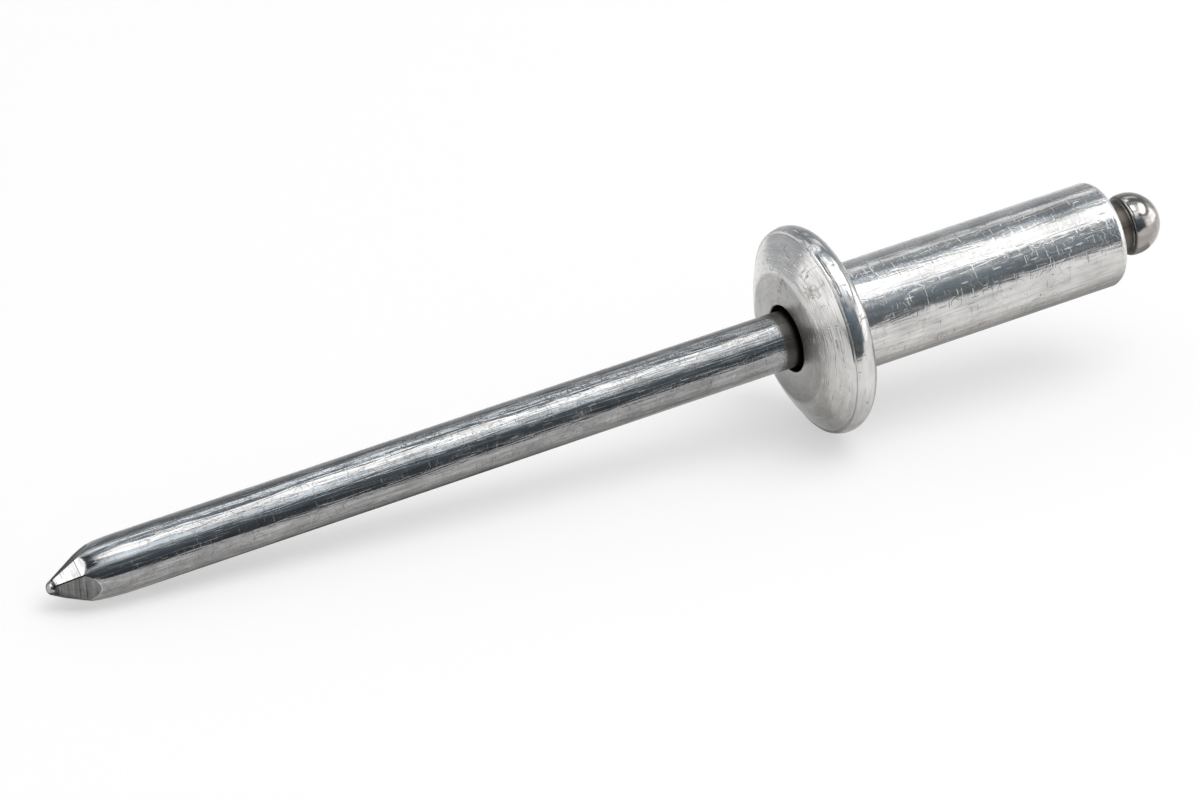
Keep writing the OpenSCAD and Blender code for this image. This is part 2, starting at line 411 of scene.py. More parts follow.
def hairlines_group():
    """Fine broken lines that run mostly along the axis with the smallest stretch."""
    tree, given, mask, pulled = pattern_group(HAIRLINES, "Mask", Width=0.1, Coverage=0.5, Seed=0.0)
    level = noise(tree, pulled, given["Seed"], 1.0, 1.0)
    off = calc(tree, "ABSOLUTE", calc(tree, "SUBTRACT", level, 0.5))
    line = calc(tree, "SUBTRACT", 1.0, calc(tree, "DIVIDE", off, given["Width"]), clamp=True)
    # A broader noise opens the lines here and there, and over more of the surface as coverage grows.
    gate_seed, gate_scale, closed, opened, softness = 31.7, 0.7, 0.72, 0.45, 0.06
    gate = noise(tree, pulled, calc(tree, "ADD", given["Seed"], gate_seed), gate_scale, 1.0)
    edge = calc(tree, "SUBTRACT", closed, calc(tree, "MULTIPLY", given["Coverage"], opened))
    opening = eased(tree, gate, edge, calc(tree, "ADD", edge, softness))
    feed(tree, mask, calc(tree, "MULTIPLY", line, opening))
    return tree


def grain_group():
    """Streaks that run along the axis with the smallest stretch, centred on zero."""
    tree, given, value, pulled = pattern_group(GRAIN, "Value", Detail=2.0, Seed=0.0)
    level = noise(tree, pulled, given["Seed"], 1.0, given["Detail"], 0.55)
    feed(tree, value, calc(tree, "SUBTRACT", level, 0.5))
    return tree


def marks_group():
    """Short straight scratches, or pits where the stretch is even, one to a cell and left out of most."""
    tree, given, mask, pulled = pattern_group(MARKS, "Mask", Size=0.3, Coverage=0.3, Seed=0.0)
    cells = add_node(tree, "ShaderNodeTexVoronoi",
                     {"Vector": pulled, "W": given["Seed"], "Scale": 1.0}, voronoi_dimensions="4D")
    solid = calc(tree, "MULTIPLY", given["Size"], 0.6)
    hole = eased(tree, cells.outputs["Distance"], solid, given["Size"], 1.0, 0.0)
    lot = add_node(tree, "ShaderNodeSeparateColor", {0: cells.outputs["Color"]}).outputs[0]
    chosen = calc(tree, "LESS_THAN", lot, given["Coverage"])
    feed(tree, mask, calc(tree, "MULTIPLY", hole, chosen))
    return tree


def tilt_group():
    """Surface normal turned a little round the rivet's axis, which frays the edges of its reflections."""
    tree, given, result = new_group(TILT, (
        ("Axis", "INPUT", "NodeSocketVector", (0, 0, 1)),
        ("Amount", "INPUT", "NodeSocketFloat", 0.0),
        ("Normal", "OUTPUT", "NodeSocketVector", None)))
    normal = add_node(tree, "ShaderNodeNewGeometry").outputs["Normal"]
    across = vector_calc(tree, "CROSS_PRODUCT", given.outputs["Axis"], normal)
    push = scaled(tree, vector_calc(tree, "NORMALIZE", across), given.outputs["Amount"])
    turned = vector_calc(tree, "NORMALIZE", vector_calc(tree, "ADD", normal, push))
    feed(tree, result.inputs["Normal"], turned)
    return tree


SHARED_EFFECTS = {AXES: axes_group, HAIRLINES: hairlines_group, GRAIN: grain_group, MARKS: marks_group,
                  TILT: tilt_group}


def effect(name):
    """The shared shader group of that name, made the first time it is asked for."""
    return bpy.data.node_groups.get(name) or SHARED_EFFECTS[name]()


def laid_effect(tree, name, vector, stretch, **inputs):
    """Output of a shared effect. Its stretch is given across the third axis and then along it."""
    across, along = stretch
    return use_group(tree, effect(name), Vector=vector, Stretch=(across, across, along), **inputs).outputs[0]


def grain(tree, vector, stretch, seed, detail=2.0):
    """Streaks, from about -0.25 to 0.25."""
    return laid_effect(tree, GRAIN, vector, stretch, Detail=detail, Seed=seed)


def hairlines(tree, vector, stretch, width, coverage, seed):
    """Mask of fine broken lines."""
    return laid_effect(tree, HAIRLINES, vector, stretch, Width=width, Coverage=coverage, Seed=seed)


def marks(tree, vector, stretch, size, coverage, seed):
    """Mask of short scratches or pits."""
    return laid_effect(tree, MARKS, vector, stretch, Size=size, Coverage=coverage, Seed=seed)


def new_metal(name, roughness):
    """New material with a metal shader, and the rivet's own coordinates in millimetres."""
    material = bpy.data.materials.new(name)
    tree = emptied_tree(material)
    shader = add_node(tree, "ShaderNodeBsdfPrincipled", {"Metallic": 1.0, "Roughness": roughness})
    output = add_node(tree, "ShaderNodeOutputMaterial", {"Surface": shader.outputs[0]})
    place = rest_place()
    axes = use_group(tree, effect(AXES), Seat=tuple(place.translation), Turn=tuple(place.to_euler()))
    output.location = (2400, 300)
    shader.location = (2200, 300)
    return material, tree, shader, axes


def sum_of(tree, *terms):
    """Sum of (value, weight) terms."""
    total = None
    for value, weight in terms:
        part = calc(tree, "MULTIPLY", value, weight)
        total = part if total is None else calc(tree, "ADD", total, part)
    return total


def product_of(tree, *values):
    """Product of several values."""
    total = values[0]
    for value in values[1:]:
        total = calc(tree, "MULTIPLY", total, value)
    return total


def less(tree, *values):
    """1 less the product of the values."""
    return calc(tree, "SUBTRACT", 1.0, product_of(tree, *values))


def more(tree, *values):
    """1 more than the product of the values."""
    return calc(tree, "ADD", product_of(tree, *values), 1.0)


def between(tree, value, rise, fall):
    """Mask that eases in over the span rise and out again over the span fall."""
    return product_of(tree, eased(tree, value, *rise), eased(tree, value, fall[1], fall[0]))


def shaded(tree, colour, tone):
    """Colour made lighter or darker by tone."""
    grey = add_node(tree, "ShaderNodeCombineColor", {0: tone, 1: tone, 2: tone}).outputs[0]
    return blend_colour(tree, 1.0, colour, grey, "MULTIPLY")


def finish_surface(tree, shader, tilt, height):
    """Gives the shader a normal with the tilt, in radians, and the height, in millimetres."""
    turned = use_group(tree, effect(TILT), Axis=tuple(axis_to_tail()), Amount=tilt).outputs[0]
    bump = add_node(tree, "ShaderNodeBump",
                    {"Strength": 1.0, "Distance": MM, "Height": height, "Normal": turned})
    feed(tree, shader.inputs["Normal"], bump.outputs[0])


def steel_material(finish, sizes, body):
    """Bright drawn wire: lines along it, cross marks, painted shade at the mouth, a bare point and a polished
    ball.
    """
    material, tree, shader, axes = new_metal("drawn_steel", finish.steel_roughness)
    local, along = axes.outputs["Local"], axes.outputs["Along"]
    face_z, tail_z = -body.head_height / MM, body.shank_length / MM
    point_z = face_z - sizes.reach / MM
    neck_z = tail_z - sizes.neck_inset / MM
    under_z = tail_z + (sizes.ball_standoff - sizes.ball_underside) / MM
    facet, facet_finish_and_shading, edge, seam = (add_node(tree, "ShaderNodeAttribute", attribute_name=name).outputs["Fac"]
                                     for name in (FACET, FACET_FINISH_AND_SHADING, FACET_GLINT, FACET_SEAM_SHADE))

    on_ball = eased(tree, along, under_z - 0.1, under_z - 0.02)
    on_neck = between(tree, along, (neck_z - 0.1, neck_z + 0.1), (under_z - 0.1, under_z - 0.02))
    on_facet = eased(tree, facet, 0.4, 0.6)
    before_neck = eased(tree, along, neck_z + 0.1, neck_z - 0.1)
    on_rod = calc(tree, "SUBTRACT", before_neck, on_facet, clamp=True)

    # Streaks along the wire, short strokes across it, and scratches of every kind.
    streaks = grain(tree, local, stretch=(6.0, 0.2), seed=3.0)
    strokes = grain(tree, local, stretch=(1.3, 4.6), seed=8.0)
    patches = grain(tree, local, stretch=(2.6, 1.3), seed=11.0)
    sawn = grain(tree, local, stretch=(0.5, 9.5), seed=17.0, detail=3.0)
    saw_cuts = marks(tree, local, stretch=(0.3, 13.0), size=0.4, coverage=0.75, seed=19.0)
    drawn = hairlines(tree, local, stretch=(4.6, 0.24), width=0.07, coverage=0.7, seed=12.0)
    bright_drawn = hairlines(tree, local, stretch=(5.2, 0.3), width=0.08, coverage=0.8, seed=14.0)
    nicks = marks(tree, local, stretch=(9.0, 1.1), size=0.32, coverage=0.4, seed=21.0)
    ticks = marks(tree, local, stretch=(1.2, 9.0), size=0.32, coverage=0.6, seed=34.0)
    fine_ticks = marks(tree, local, stretch=(1.7, 9.5), size=0.32, coverage=0.55, seed=36.0)
    scrawl = hairlines(tree, local, stretch=(2.6, 2.4), width=0.045, coverage=0.75, seed=38.0)
    pits = marks(tree, local, stretch=(4.0, 4.0), size=0.2, coverage=0.14, seed=2.0)
    blotch = noise(tree, local, seed=5.0, scale=0.8)

    # The rod is smoother near its point.
    calm = eased(tree, along, point_z + 2.2, point_z + 6.0, 0.08, 1.0)
    rod_tilt = product_of(tree, sum_of(tree, (streaks, 0.12), (strokes, 0.06), (patches, 0.06)), calm)
    tilt = sum_of(tree, (product_of(tree, rod_tilt, on_rod), 1.0), (product_of(tree, patches, on_ball), 0.03))
    cuts = sum_of(tree, (drawn, -0.003), (bright_drawn, 0.003), (nicks, -0.002), (ticks, -0.002),
                  (fine_ticks, -0.002), (scrawl, -0.002), (pits, -0.009), (strokes, 0.004))
    height = sum_of(tree, (product_of(tree, cuts, on_rod, calm), 1.0),
                    (product_of(tree, sawn, on_facet), 0.006), (product_of(tree, saw_cuts, on_facet), -0.002))
    finish_surface(tree, shader, tilt, height)

    dark = sum_of(tree, (drawn, 0.3), (ticks, 0.42), (scrawl, 0.38), (pits, 0.8))
    dark = calc(tree, "MULTIPLY", dark, calc(tree, "ADD", product_of(tree, on_rod, 0.9), 0.1), clamp=True)
    light = product_of(tree, sum_of(tree, (bright_drawn, 0.3), (nicks, 0.4), (fine_ticks, 0.3)), on_rod)
    # Painted shade darkens the rod just before the face and paints it black in the mouth, and painted shade
    # darkens the nook under the ball.
    past_mouth = (face_z + 2.0, face_z + 3.0)
    collar = between(tree, along, (face_z - 0.8, face_z - 0.55), past_mouth)
    inside = between(tree, along, (face_z - 0.32, face_z - 0.02), past_mouth)
    nook = between(tree, along, (under_z - 0.4, under_z - 0.08), (under_z + 0.02, under_z + 0.12))
    # The tone carries each facet's painted light and shade, and darkens the nook under the ball with painted
    # shade.
    tone = product_of(tree, eased(tree, blotch, 0.3, 0.7, 0.88, 1.12),
                      eased(tree, streaks, -0.2, 0.2, 0.86, 1.12), more(tree, light), facet_finish_and_shading,
                      more(tree, sawn, on_facet, 1.5), less(tree, saw_cuts, on_facet, 0.6),
                      less(tree, nook, 0.6))
    base = blend_colour(tree, on_neck, opaque(finish.steel), opaque(finish.neck_steel_and_shade))
    base = blend_colour(tree, on_ball, base, opaque(finish.ball_steel))
    base = shaded(tree, base, tone)
    stained = blend_colour(tree, 1.0, base, opaque(finish.stain), "MULTIPLY")
    base = blend_colour(tree, product_of(tree, dark, 0.8), base, stained)
    # Painted shade on the rod before the face, and painted black shade in the mouth.
    base = blend_colour(tree, product_of(tree, collar, 0.88), base, opaque(finish.rod_mouth_shade))
    base = blend_colour(tree, product_of(tree, inside, 0.97), base, PAINTED_BLACK)
    # Painted highlight along the facets' outlines and ridges.
    base = blend_colour(tree, product_of(tree, edge, 0.55), base, PAINTED_EDGE_HIGHLIGHT)
    # Painted dark reflection along the facet seams and painted shade in the nub's crease, frayed.
    frayed = eased(tree, sum_of(tree, (seam, 1.0), (patches, 0.9)), 0.3, 0.6)
    base = blend_colour(tree, product_of(tree, frayed, seam, 1.3), base, PAINTED_BLACK)
    feed(tree, shader.inputs["Base Color"], base)

    rough = sum_of(tree, (streaks, 0.14), (dark, 0.25), (light, 0.4), (on_facet, 0.12), (collar, 0.3),
                   (edge, 0.15), (on_neck, 0.3), (on_ball, 0.04))
    feed(tree, shader.inputs["Roughness"], calc(tree, "ADD", rough, finish.steel_roughness, clamp=True))
    return material


def aluminium_material(finish, sizes):
    """Bare aluminium: turned marks round the head, crossed handling scratches along the shank."""
    material, tree, shader, axes = new_metal("bare_aluminium", finish.aluminium_roughness)
    local, down, along, radius, wheel = (axes.outputs[name]
                                         for name in ("Local", "Down", "Along", "Radius", "Wheel"))
    face_z, tail_z = -sizes.head_height / MM, sizes.shank_length / MM
    land_r, mouth_r, head_r, shank_r = (
        size / 2 / MM for size in (sizes.land_diameter, sizes.mouth_diameter, sizes.head_diameter,
                                   sizes.shank_diameter))

    on_head = eased(tree, along, 0.02, -0.02)
    on_shank = less(tree, on_head)
    on_rim = product_of(tree, eased(tree, radius, head_r - 0.35, head_r - 0.15), on_head)
    on_land = product_of(tree, eased(tree, radius, land_r + 0.12, land_r - 0.12),
                         eased(tree, along, face_z + 0.4, face_z + 0.2))
    in_mouth = product_of(tree, eased(tree, radius, mouth_r + 0.07, mouth_r + 0.015), on_head)
    tail_edge = product_of(tree, eased(tree, along, tail_z - 0.36, tail_z - 0.28),
                           eased(tree, radius, shank_r - 0.3, shank_r - 0.2))
    upper = eased(tree, down, -0.6, -2.6)
    underneath = eased(tree, down, 0.2, 2.2)
    # Painted shade that darkens the lower part of the head.
    lower_head_shade = product_of(tree, eased(tree, down, 1.0, 4.9), on_head)

    # Shank: streaks along it, strokes across it and short scratches both ways.
    streaks = grain(tree, local, stretch=(4.0, 0.4), seed=41.0)
    strokes = grain(tree, local, stretch=(1.0, 3.8), seed=45.0)
    patches = grain(tree, local, stretch=(1.7, 1.4), seed=48.0)
    nicks = marks(tree, local, stretch=(8.5, 1.2), size=0.32, coverage=0.5, seed=52.0)
    dark_nicks = marks(tree, local, stretch=(8.5, 1.2), size=0.36, coverage=0.45, seed=54.0)
    ticks = marks(tree, local, stretch=(1.2, 8.5), size=0.32, coverage=0.6, seed=57.0)
    dark_ticks = marks(tree, local, stretch=(1.2, 8.5), size=0.34, coverage=0.6, seed=59.0)
    scrawl = hairlines(tree, local, stretch=(2.2, 2.0), width=0.04, coverage=0.55, seed=63.0)
    lengthwise = hairlines(tree, local, stretch=(3.8, 0.3), width=0.07, coverage=0.6, seed=66.0)
    # Head: round the axis, so it is read in wheel terms, where the third number is radius plus height.
    turned = grain(tree, wheel, stretch=(1.5, 6.0), seed=71.0)
    swirl = grain(tree, wheel, stretch=(3.0, 1.4), seed=74.0)
    arcs = hairlines(tree, wheel, stretch=(2.2, 4.6), width=0.06, coverage=0.6, seed=77.0)
    dashes = marks(tree, wheel, stretch=(5.0, 11.0), size=0.36, coverage=0.4, seed=81.0)
    dark_dashes = marks(tree, wheel, stretch=(5.6, 10.0), size=0.36, coverage=0.4, seed=85.0)
    crossings = marks(tree, wheel, stretch=(26.0, 2.4), size=0.34, coverage=0.35, seed=87.0)
    # In any direction: scuffs on the head, and pits. The rim's dents make what it reflects wander.
    scuffs = hairlines(tree, local, stretch=(1.4, 1.4), width=0.03, coverage=0.45, seed=83.0)
    pits = marks(tree, local, stretch=(3.6, 3.6), size=0.2, coverage=0.16, seed=6.0)
    worn_pits = marks(tree, local, stretch=(6.5, 6.5), size=0.42, coverage=0.55, seed=91.0)
    dents = grain(tree, local, stretch=(0.85, 1.0), seed=95.0)
    blotch = noise(tree, local, seed=9.0, scale=0.7)
    # Handling has worn a row of pits into the lower side of the rim.
    seat_to_row = 0.62
    off_row = calc(tree, "ABSOLUTE", calc(tree, "ADD", along, seat_to_row))
    worn_row = product_of(tree, worn_pits, eased(tree, off_row, 0.16, 0.08),
                          eased(tree, radius, head_r - 0.4, head_r - 0.2),
                          between(tree, down, (0.5, 1.2), (3.9, 4.3)))

    tilt = sum_of(tree, (streaks, 0.07), (strokes, 0.055), (patches, 0.08))
    tilt = calc(tree, "ADD", product_of(tree, tilt, on_shank), product_of(tree, dents, on_rim, 0.5))
    shank_height = sum_of(tree, (nicks, -0.0035), (dark_nicks, -0.0035), (ticks, -0.004),
                          (dark_ticks, -0.004), (scrawl, -0.003), (lengthwise, -0.003), (strokes, 0.008))
    head_height = sum_of(tree, (turned, 0.003), (swirl, 0.014), (arcs, -0.003), (dashes, -0.005),
                         (dark_dashes, -0.005), (crossings, -0.004), (scuffs, -0.002), (worn_row, -0.01))
    height = sum_of(tree, (product_of(tree, shank_height, on_shank), 1.0),
                    (product_of(tree, head_height, on_head), 1.0), (pits, -0.012))
    finish_surface(tree, shader, tilt, height)

    shank_dark = sum_of(tree, (dark_nicks, 0.5), (dark_ticks, 0.55), (scrawl, 0.25), (lengthwise, 0.3))
    head_dark = sum_of(tree, (arcs, 0.2), (dark_dashes, 0.55), (scuffs, 0.2), (worn_row, 1.2),
                       (product_of(tree, crossings, upper), 0.8), (product_of(tree, scuffs, upper), 0.5))
    dark = calc(tree, "ADD", product_of(tree, shank_dark, on_shank), product_of(tree, head_dark, on_head))
    dark = calc(tree, "ADD", dark, product_of(tree, pits, 0.85), clamp=True)
    light = calc(tree, "ADD", product_of(tree, sum_of(tree, (nicks, 1.0), (ticks, 0.8)), on_shank),
                 product_of(tree, dashes, on_head, 1.8))
    # The tone darkens the lower part of the head with painted shade.
    tone = product_of(tree, eased(tree, blotch, 0.3, 0.7, 0.88, 1.1), more(tree, light, 0.16),
                      more(tree, streaks, on_shank, 0.6),
                      calc(tree, "ADD", product_of(tree, turned, on_head, 0.4), 1.05),
                      more(tree, swirl, on_head, 0.3), less(tree, on_land, 0.34),
                      less(tree, lower_head_shade, 0.75))
    base = shaded(tree, opaque(finish.aluminium), tone)
    stained = blend_colour(tree, 1.0, base, opaque(finish.stain), "MULTIPLY")
    stain = calc(tree, "MAXIMUM", dark, product_of(tree, underneath, eased(tree, blotch, 0.42, 0.7), 0.3))
    base = blend_colour(tree, product_of(tree, stain, 0.8), base, stained)
    # Painted highlight along the edge round the tail end.
    base = blend_colour(tree, product_of(tree, tail_edge, 0.45), base, PAINTED_EDGE_HIGHLIGHT)
    # Painted shade in the mouth of the bore.
    base = blend_colour(tree, product_of(tree, in_mouth, 0.93), base, PAINTED_MOUTH_SHADE)
    feed(tree, shader.inputs["Base Color"], base)

    rough = sum_of(tree, (streaks, 0.1), (dark, 0.25), (light, 0.22), (on_land, 0.16), (on_head, 0.02),
                   (tail_edge, 0.2))
    feed(tree, shader.inputs["Roughness"], calc(tree, "ADD", rough, finish.aluminium_roughness, clamp=True))
    return material


# ---------------------------------------------------------------------------------------------
# The rivet body: a profile turned about the axis by a Geometry Nodes lathe
# ---------------------------------------------------------------------------------------------


def arc(centre, radius, start, end, steps):
    """Points on an arc about centre from one angle to another."""
    return [(centre[0] + radius * math.cos(a), centre[1] + radius * math.sin(a))
            for a in np.linspace(start, end, steps + 1)]


def bowed(start, end, rise, steps):
    """Points on a shallow arc that rises to the right of the line from start to end."""
    p, q = Vector(start), Vector(end)
    chord = (q - p).length
    along = (q - p) / chord
    out = Vector((along.y, -along.x))
    radius = (chord ** 2 / 4 + rise ** 2) / (2 * rise)
    centre = (p + q) / 2 + (rise - radius) * out
    half = math.asin(chord / 2 / radius)
    return [tuple(centre + radius * (math.cos(a) * out + math.sin(a) * along))
            for a in np.linspace(-half, half, steps + 1)]


def eased_corner(path, corner, reach, steps=6):
    """Path with the corner nearest to that point rounded off, reach before and after it."""
    points = np.array(path, float)
    run = np.concatenate([[0], np.cumsum(np.linalg.norm(np.diff(points, axis=0), axis=1))])
    k = int(np.argmin(np.linalg.norm(points - np.array(corner), axis=1)))
    before, after = run[k] - reach, run[k] + reach
    at = [np.array([np.interp(s, run, points[:, i]) for i in (0, 1)]) for s in (before, run[k], after)]
    curve = [(1 - t) ** 2 * at[0] + 2 * t * (1 - t) * at[1] + t ** 2 * at[2]
             for t in np.linspace(0, 1, steps + 1)]
    return np.vstack([points[run < before], curve, points[run > after]])


def filled_in(path, spacing):
    """Path with points added so that no step is longer than spacing."""
    out = []
    for p, q in zip(path[:-1], path[1:]):
        parts = max(1, math.ceil(np.linalg.norm(q - p) / spacing))
        out += [p + (q - p) * i / parts for i in range(parts)]
    return np.array(out + [path[-1]])


def body_profile(s, rod_radius):
    """Closed half section of the rivet body as (radius, height) points, up the bore and back outside."""
    bore_r = rod_radius + s.bore_clearance
    shank_r, head_r = s.shank_diameter / 2, s.head_diameter / 2
    land_r, mouth_r = s.land_diameter / 2, s.mouth_diameter / 2
    face = -s.head_height
    mouth = face + s.mouth_depth
    land_edge = (land_r, face + s.land_fall)
    crease = Vector((head_r - s.crease_inset, face + s.crease_drop))
    # The rim is a bead: it turns back to the seat on one arc and runs to the crease on a flatter one.
    widest = -s.bead_radius * 0.9
    corner = math.acos(-widest / s.bead_radius)
    turned_back = arc((head_r - s.bead_radius, widest), s.bead_radius, 0, math.pi / 2 - corner, steps=24)
    reach = crease.y + s.crease_groove - widest
    slope = math.asin(reach / s.bead_slope)
    to_widest = arc((head_r - s.bead_slope, widest), s.bead_slope, slope, 0, steps=16)
    groove = crease + Vector((0.35, 1.0)) * s.crease_groove

    mouth_edge = arc((mouth_r + s.mouth_edge, face + s.mouth_edge), s.mouth_edge,
                     math.pi, 1.5 * math.pi, steps=8)
    land_middle = ((mouth_r + land_r) / 2, face)
    crown = bowed(land_edge, crease, s.crown_rise, steps=40)
    fillet = arc((shank_r + s.seat_fillet, s.seat_fillet), s.seat_fillet, 1.5 * math.pi, math.pi, steps=8)
    side_end = (shank_r, s.shank_length - s.tail_edge_length)
    tail_start = (shank_r - s.tail_edge_inset, s.shank_length)
    tail_edge = bowed(side_end, tail_start, s.tail_edge_rise, steps=12)
    bore = [(bore_r + s.bore_chamfer, s.shank_length), (bore_r, s.shank_length - s.bore_chamfer),
            (bore_r, mouth + mouth_r - bore_r), (mouth_r, mouth)]

    # Corners that are rounded off, and how far, in millimetres.
    soften = ((land_middle, 0.4), (land_edge, 0.24), (crease, 0.012), (groove, 0.012), (to_widest[0], 0.03),
              (turned_back[-1], 0.06), (side_end, 0.02), (tail_start, 0.03))
    path = np.array(mouth_edge + [land_middle] + crown + [tuple(groove)] + to_widest + turned_back[1:]
                    + fillet + tail_edge + bore[:1])
    for corner, reach in soften:
        path = eased_corner(path, corner, reach * MM)
    inside = np.array(bore + mouth_edge[:1])
    for corner in bore[1:]:
        inside = eased_corner(inside, corner, 0.05 * MM)
    inside, path = filled_in(inside, 0.6 * MM), filled_in(path, 0.12 * MM)
    return np.vstack([inside[:-1], path[:-1]])


def lathe_tree():
    """Geometry Nodes tree that turns a closed profile round the axis and lays the piece down."""
    tree, given, result = new_group("Lathe", (
        ("Profile", "INPUT", "NodeSocketGeometry", None),
        ("Steps Round", "INPUT", "NodeSocketInt", 96),
        ("Wave Height", "INPUT", "NodeSocketFloat", 0.0),
        ("Wave Length", "INPUT", "NodeSocketFloat", 1.0),
        ("Seed", "INPUT", "NodeSocketFloat", 0.0),
        ("Seat", "INPUT", "NodeSocketVector", (0, 0, 0)),
        ("Turn", "INPUT", "NodeSocketVector", (0, 0, 0)),
        ("Material", "INPUT", "NodeSocketMaterial", None),
        ("Geometry", "OUTPUT", "NodeSocketGeometry", None)), "GeometryNodeTree")
    steps = given.outputs["Steps Round"]

    def whole(operation, a, b):
        return add_node(tree, "FunctionNodeIntegerMath", {0: a, 1: b}, operation=operation).outputs[0]

    size = add_node(tree, "GeometryNodeAttributeDomainSize", {0: given.outputs["Profile"]})
    count = size.outputs["Point Count"]
    columns = whole("ADD", steps, 1)
    sheet = add_node(tree, "GeometryNodeMeshGrid", {
        "Size X": 1.0, "Size Y": 1.0, "Vertices X": whole("ADD", count, 1), "Vertices Y": columns})
    index = add_node(tree, "GeometryNodeInputIndex").outputs[0]
    row, column = whole("DIVIDE_FLOOR", index, columns), whole("MODULO", index, columns)
    position = add_node(tree, "GeometryNodeInputPosition").outputs[0]
    on_profile = add_node(tree, "GeometryNodeSampleIndex", data_type="FLOAT_VECTOR")
    feed(tree, on_profile.inputs["Geometry"], given.outputs["Profile"])
    feed(tree, on_profile.inputs["Value"], position)
    feed(tree, on_profile.inputs["Index"], whole("MODULO", row, count))
    parts = add_node(tree, "ShaderNodeSeparateXYZ", {0: on_profile.outputs[0]}).outputs
    angle = calc(tree, "MULTIPLY", calc(tree, "DIVIDE", column, steps), FULL_TURN)
    turned = add_node(tree, "ShaderNodeCombineXYZ", {
        0: calc(tree, "MULTIPLY", parts[0], calc(tree, "COSINE", angle)),
        1: calc(tree, "MULTIPLY", parts[0], calc(tree, "SINE", angle)), 2: parts[2]}).outputs[0]
    placed = add_node(tree, "GeometryNodeSetPosition", {"Geometry": sheet.outputs[0], "Position": turned})
    closed = add_node(tree, "GeometryNodeMergeByDistance", {"Geometry": placed.outputs[0], "Distance": 1e-7})
    scale = calc(tree, "DIVIDE", 1.0, given.outputs["Wave Length"])
    wave = calc(tree, "SUBTRACT", noise(tree, position, given.outputs["Seed"], scale, 1.0), 0.5)
    outwards = add_node(tree, "GeometryNodeInputNormal").outputs[0]
    push = scaled(tree, outwards, calc(tree, "MULTIPLY", wave, given.outputs["Wave Height"]))
    uneven = add_node(tree, "GeometryNodeSetPosition", {"Geometry": closed.outputs[0], "Offset": push})
    laid = add_node(tree, "GeometryNodeTransform", {
        "Geometry": uneven.outputs[0], "Translation": given.outputs["Seat"],
        "Rotation": given.outputs["Turn"]})
    smooth = add_node(tree, "GeometryNodeSetShadeSmooth", {"Geometry": laid.outputs[0]})
    real = add_node(tree, "GeometryNodeRealizeInstances", {"Geometry": smooth.outputs[0]})
    finished = add_node(tree, "GeometryNodeSetMaterial", {
        "Geometry": real.outputs[0], "Material": given.outputs["Material"]})
    feed(tree, result.inputs["Geometry"], finished.outputs[0])
    return tree


def made_by_tree(name, profile, tree, inputs):
    """Plain mesh object that the tree makes from the profile."""
    mesh = bpy.data.meshes.new(name)
    count = len(profile)
    mesh.from_pydata([(x, 0, z) for x, z in profile], [(i, (i + 1) % count) for i in range(count)], [])
    source = bpy.data.objects.new(name + "_profile", mesh)
    bpy.context.scene.collection.objects.link(source)
    modifier = source.modifiers.new("Lathe", "NODES")
    modifier.node_group = tree
    names = {item.name: item.identifier for item in tree.interface.items_tree if item.in_out == "INPUT"}
    for label, value in inputs.items():
        modifier[names[label]] = value
    source.update_tag()
    depsgraph = bpy.context.evaluated_depsgraph_get()
    made = bpy.data.meshes.new_from_object(source.evaluated_get(depsgraph), depsgraph=depsgraph)
    bpy.data.objects.remove(source)
    made.name = name
    piece = bpy.data.objects.new(name, made)
    bpy.context.scene.collection.objects.link(piece)
    return piece


def volume_of(mesh):
    """Volume inside a closed mesh, negative if its faces point inwards."""
    mesh.calc_loop_triangles()
    points = np.empty(len(mesh.vertices) * 3)
    mesh.vertices.foreach_get("co", points)
    corners = np.empty(len(mesh.loop_triangles) * 3, int)
    mesh.loop_triangles.foreach_get("vertices", corners)
    a, b, c = points.reshape(-1, 3)[corners.reshape(-1, 3)].transpose(1, 0, 2)
    return float(np.einsum("ij,ij->i", a, np.cross(b, c)).sum() / 6)


def outward(mesh):
    """Turns the faces of a closed mesh outwards."""
    if volume_of(mesh) < 0:
        mesh.flip_normals()


class RIVET_OT_make_body(bpy.types.Operator):
    """Turn the aluminium rivet body and put it in the place of its CAD node"""

    bl_idname = "rivet.make_body"
    bl_label = "Make Rivet Body"

    def execute(self, context):
        scene = context.scene
        sizes, finish = scene.rivet_body_sizes, scene.rivet_finish
        place = rest_place()
        material = aluminium_material(finish, sizes)
        profile = body_profile(sizes, scene.mandrel_sizes.diameter / 2)
        piece = made_by_tree("rivet_body_turned", profile, lathe_tree(), {
            "Steps Round": sizes.steps_round, "Wave Height": sizes.wave_height,
            "Wave Length": sizes.wave_length, "Seed": WAVE_SEED, "Seat": tuple(place.translation),
            "Turn": tuple(place.to_euler()), "Material": material})
        if not piece.data.polygons:
            raise RuntimeError("the lathe made no faces for the rivet body")
        outward(piece.data)
        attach(piece, "root")
        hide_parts("rivet_body")
        return {"FINISHED"}


# ---------------------------------------------------------------------------------------------
# The mandrel
# ---------------------------------------------------------------------------------------------


def smooth_least(a, b, blend):
    """Smaller of two surfaces, rounded off where they cross."""
    h = np.clip(0.5 + 0.5 * (b - a) / blend, 0, 1)
    return b + (a - b) * h - blend * h * (1 - h)


def falling_off(distance, width):
    """1 where the distance is nothing, falling to nearly 0 at twice the width."""
    return np.exp(-(distance / width) ** 2)


